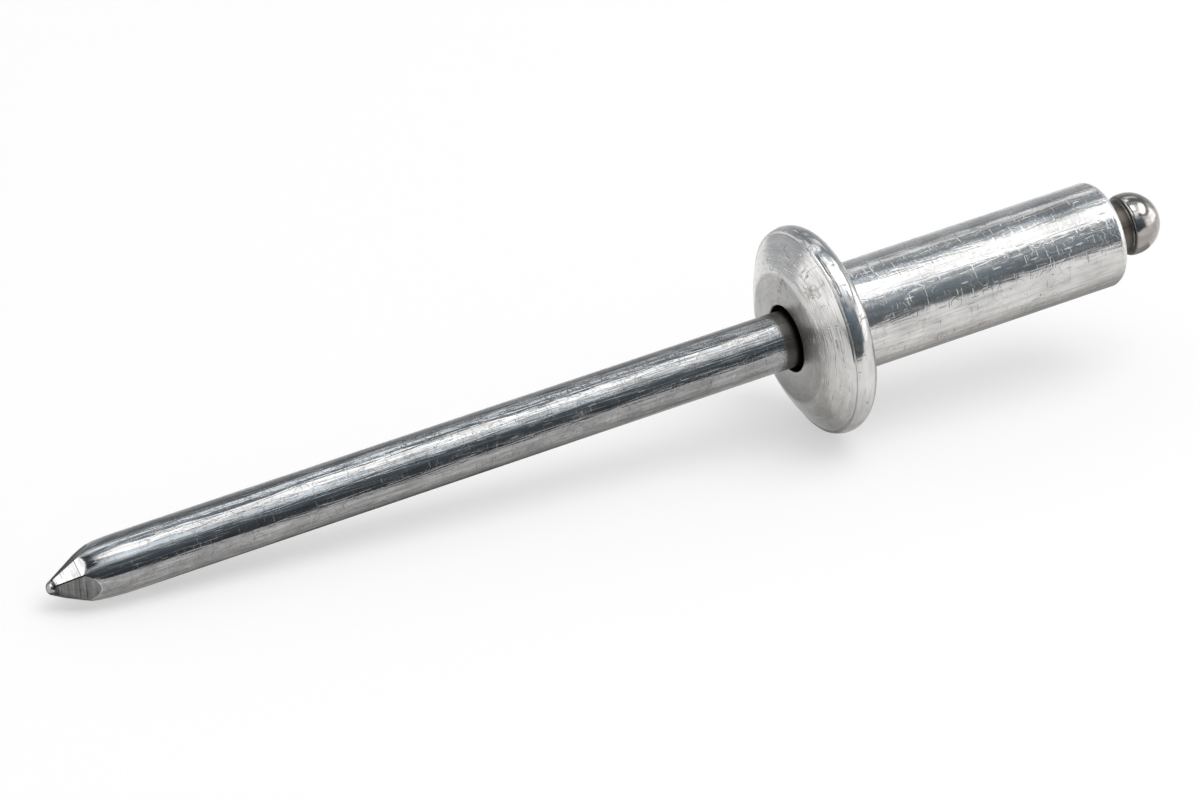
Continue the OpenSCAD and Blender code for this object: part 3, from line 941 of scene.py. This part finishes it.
def pinch_marks(run, across, spacing, seed):
    """Uneven steps that the cutter leaves across a facet, from 0 to 1, by the run along it."""
    random = np.random.default_rng(seed)
    sets, fullest = 7, 3.4
    total = np.zeros(np.broadcast(run, across).shape)
    for k in range(sets):
        pitch = spacing * random.uniform(0.35, 1.9)
        lean = random.uniform(-0.12, 0.12)
        phase = random.uniform(0, 1)
        t = (run + lean * across) / pitch + phase + 0.12 * np.sin(across / spacing + k)
        total += (1 - np.abs(2 * (t % 1.0) - 1)) ** 3 * random.uniform(0.4, 1.0)
    return total / fullest


def mandrel_heights(s, body):
    """Heights along the axis that the rings and the radii of the mandrel both go by."""
    point = -body.head_height - s.reach
    ball = body.shank_length + s.ball_standoff
    return {"point": point, "nub_end": point + s.nub_length, "shoulder": point + s.shoulder_length,
            "groove": body.shank_length - s.break_setback, "neck": body.shank_length - s.neck_inset,
            "under": ball - s.ball_underside, "ball": ball}


def mandrel_rows(s, at):
    """Heights of both ends of the mandrel, and of the rings of points between them."""
    point, nub_end, groove, neck, under, ball = (
        at[name] for name in ("point", "nub_end", "groove", "neck", "under", "ball"))
    nub_r, ball_r = s.nub_diameter / 2, s.ball_diameter / 2
    turn = math.acos(1 - s.nub_length / nub_r)
    nub = [point + nub_r * (1 - math.cos(a)) for a in np.linspace(0, turn, 13)[1:-1]]
    # The rings lie close together on the facets, so that the cutter's marks are real shape.
    seam_end, cut_end = nub_end + 0.2 * MM, point + 2.9 * MM
    seam = np.arange(nub_end, seam_end, 0.01 * MM)
    facets = np.arange(seam_end, cut_end, 0.016 * MM)
    shoulder = np.linspace(cut_end, at["shoulder"], 12, endpoint=False)
    rod = np.linspace(at["shoulder"], groove - s.break_width / 2, 70, endpoint=False)
    around_groove = [groove - s.break_width / 2, groove - s.break_floor / 2, groove + s.break_floor / 2,
                     groove + s.break_width / 2]
    to_neck = np.linspace(groove + s.break_width / 2 + 0.1 * MM, neck, 6)
    neck_rows = np.concatenate([np.linspace(neck + 0.02 * MM, neck + s.neck_step, 4),
                                np.linspace(neck + 0.2 * MM, under - 0.05 * MM, 8)])
    edge_rows = under + s.underside_edge * (np.linspace(0, 1, 9) ** 2) * EDGE_STRETCH
    angles = np.linspace(math.acos((edge_rows[-1] - ball) / ball_r), 0, 60)[1:-1]
    ball_rows = [ball + ball_r * math.cos(a) for a in angles]
    return point, ball + ball_r, np.concatenate(
        [nub, seam, facets, shoulder, rod, around_groove, to_neck, neck_rows, [under - 0.02 * MM], edge_rows,
         ball_rows])


def ring_middles(s, at, rows):
    """Middle of the pinch cut, and of each ring: on the cut's line at the point and on the axis past it."""
    start, length = at["nub_end"] + 0.3 * MM, 1.4 * MM
    off = np.clip((rows - start) / length, 0, 1)
    share = 1 - off * off * (3 - 2 * off)
    cut = s.cut_offset * np.array([math.cos(s.cut_offset_turn), math.sin(s.cut_offset_turn)])
    return cut, share[:, None] * cut


def unpinched_radius(s, at, z):
    """Distance from the axis to the surface, before the point is pinched."""
    rod_r, ball_r = s.diameter / 2, s.ball_diameter / 2
    below = np.clip(at["shoulder"] - z, 0, None)
    radius = rod_r - s.shoulder_radius + np.sqrt(s.shoulder_radius ** 2 - below ** 2)
    off_groove = np.abs(z - at["groove"])
    wall = (off_groove - s.break_floor / 2) / ((s.break_width - s.break_floor) / 2)
    radius = np.minimum(radius, rod_r - s.break_depth * (1 - np.clip(wall, 0, 1)))
    radius = np.where(z > at["neck"], np.maximum(rod_r - (z - at["neck"]), rod_r - s.neck_step), radius)
    globe = np.sqrt(np.clip(ball_r ** 2 - (z - at["ball"]) ** 2, 0, None))
    lift = np.clip((z - at["under"]) / (EDGE_STRETCH * s.underside_edge), 0, 1)
    globe = globe - s.underside_edge * (1 - np.sqrt(lift * (2 - lift)))
    return np.where(z >= at["under"], globe, radius)


def facet_cuts(s, at, z, angle, from_middle, radius):
    """Distances from each ring's middle to the six facets: two wide, two side and two narrow ones."""
    cuts = []
    pairs = ((0, s.wide_angle, 1.0), (s.side_step, s.side_angle, 0.2), (s.narrow_step, s.narrow_angle, 0.3))
    grazing = 0.12
    rise = z - (at["point"] - s.facet_overrun)
    for k, (step, slope, strength) in enumerate(pairs):
        for side in (0, 1):
            faces = s.facet_turn + step + side * math.pi
            off = (angle - faces + math.pi) % FULL_TURN - math.pi
            level = np.cos(off)
            shift = from_middle @ np.array([math.cos(faces), math.sin(faces)])
            cutting = pinch_marks(rise / math.cos(slope), radius * np.sin(off), s.mark_spacing, 10 * k + side)
            depth = strength * s.mark_depth * cutting / math.cos(slope)
            flat = rise * math.tan(slope) + shift[:, None] - depth
            cuts.append(np.where(level > grazing, flat / np.maximum(level, grazing), 1.0))
    return cuts


def facet_looks(s, at, z, angle, cuts, facets, radius):
    """What the steel's surface carries at each point: facet, each facet's finish with painted light and
    shade, painted highlights on edges, and painted dark seams and nub crease.
    """
    def off_ridge(first, second):
        return np.maximum(np.abs(first - second), first - facets)

    wide, wide_behind, _, _, narrow, narrow_behind = cuts
    gap = radius - facets
    at_point = (z < at["shoulder"]) & (z >= at["nub_end"])
    off_seam = np.minimum(off_ridge(wide, narrow_behind), off_ridge(wide_behind, narrow))
    on_facet = at_point * np.clip(0.5 + gap / (0.02 * MM), 0, 1)
    nearest, next_nearest = np.sort(cuts, 0)[:2]
    # Painted highlights: on the rounded ridges between facets and along the outline of each facet.
    ridge = 0.7 * falling_off(next_nearest - nearest, 0.012 * MM) * (off_seam > 0.06 * MM)
    outline = falling_off(gap, 0.009 * MM)
    # Painted dark reflection along the seams between wide and narrow facets, and painted shade in the crease
    # at the nub's foot, darkest to one side.
    seam = at_point * (gap > -0.03 * MM) * falling_off(off_seam, 0.05 * MM)
    nub_crease_shade = (falling_off(z - at["nub_end"], 0.07 * MM)
             * np.clip(1.6 * np.cos(angle - s.facet_turn + s.nub_crease_shade_turn) - 0.9, 0.45, 1))
    # Each facet's level: its cut finish with painted light and shade by the way it faces.
    tones = np.choose(np.argmin(cuts, 0) // 2, FACET_FINISH_AND_SHADING_LEVELS)
    return {FACET: on_facet, FACET_FINISH_AND_SHADING: 1 + on_facet * (tones - 1),
            FACET_GLINT: at_point * np.maximum(outline, on_facet * ridge),
            FACET_SEAM_SHADE: np.maximum(seam, nub_crease_shade)}


def mandrel_radius(s, at, rows, angle):
    """Middle of each ring, distance from it to the surface at each angle, and the looks of each point."""
    cut_middle, middles = ring_middles(s, at, rows)
    z, angle = rows[:, None], angle[None, :]
    towards = middles[:, :1] * np.cos(angle) + middles[:, 1:] * np.sin(angle)
    off_axis = (middles ** 2).sum(1)[:, None]
    round_rod = unpinched_radius(s, at, z)
    radius = np.sqrt(np.clip(round_rod ** 2 - off_axis + towards ** 2, 0, None)) - towards

    cuts = facet_cuts(s, at, z, angle, cut_middle - middles, radius)
    facets = cuts[0]
    for cut in cuts[1:]:
        facets = smooth_least(facets, cut, s.ridge_blend)
    looks = facet_looks(s, at, z, angle, cuts, facets, radius)
    # The skin of the rod is drawn down beside each facet, and the nub's foot widens to meet the facets.
    drag_reach, foot_slope, nub_r = 0.06 * MM, 4.5, s.nub_diameter / 2
    drawn_down = radius - s.drag * np.exp(-np.clip(facets - radius, 0, 1) / drag_reach)
    foot = 0.95 * nub_r + foot_slope * (z - at["nub_end"])
    pinched = np.minimum(np.minimum(facets, drawn_down), foot)
    radius = np.where((z < at["shoulder"]) & (z >= at["nub_end"]), pinched, radius)
    nub = np.sqrt(np.clip(nub_r ** 2 - (z - at["point"] - nub_r) ** 2, 0, None))
    return middles, np.where(z < at["nub_end"], nub + 0 * angle, radius), looks


def turned_shell(name, low, high, rows, middles, radii):
    """Closed mesh of rings of points about their middles, between a bottom and a top point."""
    steps = radii.shape[1]
    angle = np.arange(steps) * FULL_TURN / steps
    ring = np.stack([middles[:, :1] + radii * np.cos(angle), middles[:, 1:] + radii * np.sin(angle),
                     np.repeat(rows[:, None], steps, 1)], 2)
    points = np.vstack([[*middles[0], low], ring.reshape(-1, 3), [*middles[-1], high]])
    index = 1 + np.arange(len(rows) * steps).reshape(len(rows), steps)
    after = np.roll(index, -1, 1)
    quads = np.stack([index[:-1], after[:-1], after[1:], index[1:]], 2).reshape(-1, 4)
    top = len(points) - 1
    faces = quads.tolist() + [(0, b, a) for a, b in zip(index[0], after[0])]
    faces += [(top, a, b) for a, b in zip(index[-1], after[-1])]
    mesh = bpy.data.meshes.new(name)
    mesh.from_pydata(points.tolist(), [], faces)
    mesh.shade_smooth()
    return mesh


class RIVET_OT_make_mandrel(bpy.types.Operator):
    """Make the steel mandrel with its pinched point and ball, and put it in the place of its CAD node"""

    bl_idname = "rivet.make_mandrel"
    bl_label = "Make Mandrel"

    def execute(self, context):
        scene = context.scene
        sizes, body = scene.mandrel_sizes, scene.rivet_body_sizes
        at = mandrel_heights(sizes, body)
        low, high, rows = mandrel_rows(sizes, at)
        if np.any(np.diff(rows) <= 0):
            raise RuntimeError("the rings of the mandrel are out of order")
        angle = np.arange(sizes.steps_round) * FULL_TURN / sizes.steps_round
        middles, radii, looks = mandrel_radius(sizes, at, rows, angle)
        mesh = turned_shell("mandrel_drawn", low, high, rows, middles, radii)
        for name, values in looks.items():
            layer = mesh.attributes.new(name, "FLOAT", "POINT")
            layer.data.foreach_set("value", np.concatenate([[0], values.ravel(), [0]]))
        mesh.transform(rest_place())
        outward(mesh)
        mesh.materials.append(steel_material(scene.rivet_finish, sizes, body))
        piece = bpy.data.objects.new("mandrel_drawn", mesh)
        scene.collection.objects.link(piece)
        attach(piece, "root")
        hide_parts("mandrel")
        return {"FINISHED"}


# ---------------------------------------------------------------------------------------------
# The studio
# ---------------------------------------------------------------------------------------------


def grey(level):
    """Neutral colour of that level."""
    return (level, level, level)


def tinted(light, *shares):
    """Colour whose three numbers are shares of the light."""
    return tuple(light * share for share in shares)


def glow_material(name, low, high, axis, start, end):
    """Glow that goes from the low colour at start to the high colour at end, along an axis 0 to 2."""
    material = bpy.data.materials.new(name)
    tree = emptied_tree(material)
    place = add_node(tree, "ShaderNodeTexCoord").outputs["Object"]
    along = add_node(tree, "ShaderNodeSeparateXYZ", {0: place}).outputs[axis]
    colour = blend_colour(tree, eased(tree, along, start, end), opaque(low), opaque(high))
    lamp = add_node(tree, "ShaderNodeEmission", {"Color": colour, "Strength": 1.0})
    add_node(tree, "ShaderNodeOutputMaterial", {"Surface": lamp.outputs[0]})
    return material


def add_stage_sheet(name, points, material, faces=None):
    """Stage object with one material, one face through all its points unless it is given others."""
    mesh = bpy.data.meshes.new(name)
    mesh.from_pydata(points, [], faces or [tuple(range(len(points)))])
    mesh.materials.append(material)
    piece = bpy.data.objects.new(name, mesh)
    bpy.context.scene.collection.objects.link(piece)
    piece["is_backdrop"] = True
    return piece


def only_reflected(card):
    """Makes a card show in reflections only, so that it neither lights the scene nor stands in a view."""
    card.visible_camera = False
    card.visible_diffuse = False
    card.visible_shadow = False


def ceiling_card(name, height, x_span, y_span, left, right=None, fade=(0.0, 1.0), corner=0.25):
    """Rounded card level over the object, from its left colour to its right one. Spans are in heights."""
    (x0, x1), (y0, y1) = x_span, y_span
    reach = corner * min(x1 - x0, y1 - y0)
    middles = ((x1 - reach, y1 - reach, 0), (x0 + reach, y1 - reach, 1),
               (x0 + reach, y0 + reach, 2), (x1 - reach, y0 + reach, 3))
    points = [((x + reach * math.cos(a)) * height, (y + reach * math.sin(a)) * height, height)
              for x, y, k in middles
              for a in np.linspace(k, k + 1, 9) * math.pi / 2]
    glow = glow_material(name, left, right or left, 0, fade[0] * height, fade[1] * height)
    only_reflected(add_stage_sheet(name, points, glow))


def standing_card(name, z_span, turn_span, low, high, radius=0.9):
    """Curved upright card. Turns go round from -Y towards +X, in degrees."""
    steps = 48
    angles = np.radians(np.linspace(*turn_span, steps + 1))
    points = [(radius * math.sin(a), -radius * math.cos(a), z) for z in z_span for a in angles]
    faces = [(i, i + 1, steps + 2 + i, steps + 1 + i) for i in range(steps)]
    only_reflected(add_stage_sheet(name, points, glow_material(name, low, high, 2, *z_span), faces))


def lying_card(name, height, corners, colour, right=None, fade=(0.0, 1.0)):
    """Card that lies just over the floor, in millimetres, of one colour or fading along X to another."""
    points = [(x * MM, y * MM, height * MM) for x, y in corners]
    glow = glow_material(name, colour, right or colour, 0, fade[0] * MM, fade[1] * MM)
    only_reflected(add_stage_sheet(name, points, glow))


def strip(x_span, near_ends, far_ends):
    """Corners of a strip along X, with its near edge and its far edge at those Ys at the two ends."""
    return ((x_span[0], near_ends[0]), (x_span[1], near_ends[1]),
            (x_span[1], far_ends[1]), (x_span[0], far_ends[0]))


def facing_disc(name, centre, radius, strength):
    """Round lamp that faces the middle of the object and shows in no reflection."""
    steps = 40
    turn = (-Vector(centre).normalized()).to_track_quat("Z", "Y")
    points = [tuple(Vector(centre) + turn @ Vector((radius * math.cos(a), radius * math.sin(a), 0)))
              for a in np.arange(steps) * FULL_TURN / steps]
    lamp = add_stage_sheet(name, points, glow_material(name, grey(strength), grey(strength), 2, 0.0, 1.0))
    lamp.visible_camera = False
    lamp.visible_glossy = False


def seen_rays(tree):
    """1 for rays from the eye, straight, mirrored or through clear pieces, and 0 for all others."""
    rays = add_node(tree, "ShaderNodeLightPath").outputs
    return calc(tree, "MAXIMUM", rays["Is Camera Ray"],
                calc(tree, "MAXIMUM", rays["Is Glossy Ray"], rays["Is Transmission Ray"]))


def floor_material(glow):
    """Pale light table that keeps a soft shadow of the object and goes over to plain white further out."""
    material = bpy.data.materials.new("studio_paper")
    tree = emptied_tree(material)
    place = add_node(tree, "ShaderNodeTexCoord").outputs["Object"]
    out = eased(tree, vector_calc(tree, "LENGTH", place), 0.1, 0.28)
    paper = add_node(tree, "ShaderNodeBsdfDiffuse", {"Color": (0.92, 0.92, 0.92, 1)})
    white = add_node(tree, "ShaderNodeEmission", {"Color": (1, 1, 1, 1), "Strength": PLAIN_WHITE})
    lit = add_node(tree, "ShaderNodeMixShader", {0: glow, 1: paper.outputs[0], 2: white.outputs[0]})
    surface = add_node(tree, "ShaderNodeMixShader", {
        0: calc(tree, "MULTIPLY", out, seen_rays(tree)), 1: lit.outputs[0], 2: white.outputs[0]})
    add_node(tree, "ShaderNodeOutputMaterial", {"Surface": surface.outputs[0]})
    return material


def light_world(fill):
    """White surroundings to the eye and in reflections, and a plain fill for the light itself."""
    world = bpy.data.worlds.new("studio_world")
    tree = emptied_tree(world)
    strength = add_node(tree, "ShaderNodeMapRange", {
        "Value": seen_rays(tree), "To Min": fill, "To Max": PLAIN_WHITE})
    sky = add_node(tree, "ShaderNodeBackground", {"Color": (1, 1, 1, 1), "Strength": strength.outputs[0]})
    add_node(tree, "ShaderNodeOutputWorld", {"Surface": sky.outputs[0]})
    bpy.context.scene.world = world


def lay_floor(drop, glow):
    """Wide floor that lies a little below the object."""
    reach = 3.0
    points = [(-reach, -reach, -drop), (reach, -reach, -drop), (reach, reach, -drop), (-reach, reach, -drop)]
    add_stage_sheet("floor", points, floor_material(glow))


def hang_ceiling(roof, light):
    """Cards overhead, front to back. The left of each card shows in the mandrel, the right in the body."""
    split, start, end = (0.3, 0.4), -0.11, 1.2
    full = (start, end)
    ceiling_card("roof", roof * 1.03, (-0.2, 1.8), (-0.95, 1.8), (0.27, 0.3, 0.33), (0.26, 0.29, 0.32), split)
    ceiling_card("flag_middle", roof * 1.01, (-0.5, start - 0.01), (-0.92, 0.75), (0.11, 0.12, 0.14),
                 corner=0.1)
    ceiling_card("softbox_front_left", roof, (start, 0.425), (-0.86, -0.43),
                 tinted(light, 0.6, 0.66, 0.71), tinted(light, 0.56, 0.6, 0.64), corner=0.15)
    ceiling_card("softbox_front_right", roof, (0.415, end), (-0.62, -0.365), grey(light * 0.66), corner=0.2)
    ceiling_card("softbox_top", roof, full, (-0.37, 0.06), grey(light * 1.2), grey(light * 0.5), split, 0.3)
    ceiling_card("softbox_behind", roof, full, (0.13, 0.26),
                 tinted(light, 0.2, 0.23, 0.26), tinted(light, 0.28, 0.31, 0.33), split)
    ceiling_card("strip_left", roof, (start, 0.35), (0.42, 0.68), tinted(light, 0.76, 0.81, 0.85))
    ceiling_card("strip_rim", roof, (-0.5, -0.02), (0.3, 1.1), tinted(light, 0.38, 0.4, 0.42))
    ceiling_card("strip_right", roof, (0.35, end), (0.8, 1.2), grey(light * 0.42))
    ceiling_card("softbox_ball", roof * 0.99, (0.6, 1.25), (-0.74, 0.22), grey(light * 1.1), corner=0.45)
    ceiling_card("softbox_left", roof, (-1.9, -0.52), (-0.6, 0.6), grey(light), corner=0.2)


def stand_cards():
    """Cards round the horizon: dark in front, bright at both sides, grey behind."""
    standing_card("flag_front", (0.0, 0.75), (-62, 23.7), (0.09, 0.1, 0.11), (0.2, 0.26, 0.31))
    standing_card("flag_front_right", (0.04, 0.75), (23.7, 36), (0.12, 0.14, 0.15), (0.24, 0.3, 0.35))
    standing_card("glow_left", (0.0, 0.45), (-130, -66), grey(1.45), grey(1.25), radius=0.95)
    standing_card("glow_right", (0.0, 0.42), (44, 62), grey(1.8), grey(1.8))
    standing_card("glow_tail", (0.02, 0.42), (64, 98), grey(2.6), grey(2.6))
    standing_card("flag_far", (0.0, 0.95), (110, 230), (0.56, 0.57, 0.59), (0.26, 0.29, 0.31))


def lay_cards():
    """Cards just over the floor, which the underside mirrors, darkest in the object's own shade."""
    rod, shank = (-27, 8.5), (9.5, 31)
    low, deepest = 0.1, 0.18
    lying_card("flag_floor", low, ((-60, -5), (-300, -400), (181, -400), (36, -62), (10, -22), (-4, -12)),
               (0.07, 0.08, 0.09))
    for name, deep, level in (("shade_outer", 1.6, 0.78), ("shade_inner", 1.0, 0.52)):
        height, colour = 0.2 - 0.05 * deep, tinted(level, 1, 0.99, 0.97)
        under_rod = strip(rod, (-0.9 * deep, -2 * deep), (0.9 * deep, 1.5 * deep))
        under_shank = strip(shank, (-2 * deep, -2.6 * deep), (7 * deep, 9 * deep))
        lying_card(name + "_rod", height, under_rod, colour)
        lying_card(name + "_shank", height, under_shank, colour)
    lying_card("shade_deep_rod", deepest, strip(rod, (-0.7, -0.4), (1.2, 4)), grey(0.18), grey(0.62), (-6, 5))
    lying_card("shade_point", deepest, strip((-31, -22), (2.2, 2.2), (9, 9)), grey(0.12))
    lying_card("shade_deep_shank", deepest, strip(shank, (-0.9, -0.6), (5, 6)), grey(0.36))
    lying_card("flag_floor_far", low, ((50, 35), (50, 500), (-500, 500), (-500, 35)), (0.58, 0.6, 0.62))


def set_camera(scene, studio, middle):
    """Camera of the studio, aimed beside the middle of the object."""
    azimuth, elevation = studio.camera_azimuth, studio.camera_elevation
    back = Vector((math.sin(azimuth) * math.cos(elevation), -math.cos(azimuth) * math.cos(elevation),
                   math.sin(elevation)))
    lens = bpy.data.cameras.new("camera")
    lens.lens, lens.sensor_width = studio.camera_lens, 36
    lens.clip_start, lens.clip_end = 0.005, 20
    camera = bpy.data.objects.new("camera", lens)
    scene.collection.objects.link(camera)
    camera.location = middle + Vector(studio.aim) + back * studio.camera_distance
    camera.rotation_euler = back.to_track_quat("Z", "Y").to_euler()
    scene.camera = camera


class RIVET_OT_set_stage(bpy.types.Operator):
    """Set the floor, the softboxes, the dark cards and the camera round the rivet"""

    bl_idname = "rivet.set_stage"
    bl_label = "Set Stage"

    def execute(self, context):
        scene = context.scene
        studio = scene.rivet_studio
        low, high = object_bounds()
        if (high - low).length == 0:
            raise RuntimeError("there is nothing to light: make the rivet first")
        light_world(studio.fill)
        lay_floor(studio.floor_drop, studio.table_glow)
        facing_disc("lamp", centre=(0.154, -0.115, 0.45), radius=0.21, strength=studio.lamp)
        hang_ceiling(studio.ceiling, studio.soft_light)
        stand_cards()
        lay_cards()
        set_camera(scene, studio, (low + high) / 2)
        scene.view_settings.view_transform = "Standard"
        return {"FINISHED"}


# ---------------------------------------------------------------------------------------------
# Panel and registration
# ---------------------------------------------------------------------------------------------


class RIVET_PT_workshop(bpy.types.Panel):
    """Pieces of the rivet and its stage"""

    bl_idname = "RIVET_PT_workshop"
    bl_label = "Blind Rivet"
    bl_space_type = "VIEW_3D"
    bl_region_type = "UI"
    bl_category = "Rivet"

    def draw(self, context):
        layout = self.layout
        for operator in (RIVET_OT_make_body, RIVET_OT_make_mandrel, RIVET_OT_set_stage):
            layout.operator(operator.bl_idname)
        for name, group in SETTINGS:
            box = layout.box()
            box.label(text=group.__doc__)
            for key in group.__annotations__:
                box.prop(getattr(context.scene, name), key)


CLASSES = tuple(group for _, group in SETTINGS) + (
    RIVET_OT_make_body, RIVET_OT_make_mandrel, RIVET_OT_set_stage, RIVET_PT_workshop)


def register():
    """Adds the classes, and their settings to the scene."""
    for item in CLASSES:
        bpy.utils.register_class(item)
    for name, group in SETTINGS:
        setattr(bpy.types.Scene, name, bpy.props.PointerProperty(type=group))


def unregister():
    """Takes the settings and the classes away again."""
    for name, _ in SETTINGS:
        delattr(bpy.types.Scene, name)
    for item in reversed(CLASSES):
        bpy.utils.unregister_class(item)


def main():
    """Makes the rivet and its stage."""
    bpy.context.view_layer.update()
    register()
    bpy.ops.rivet.make_body()
    bpy.ops.rivet.make_mandrel()
    bpy.ops.rivet.set_stage()


if __name__ == "__main__":
    main()
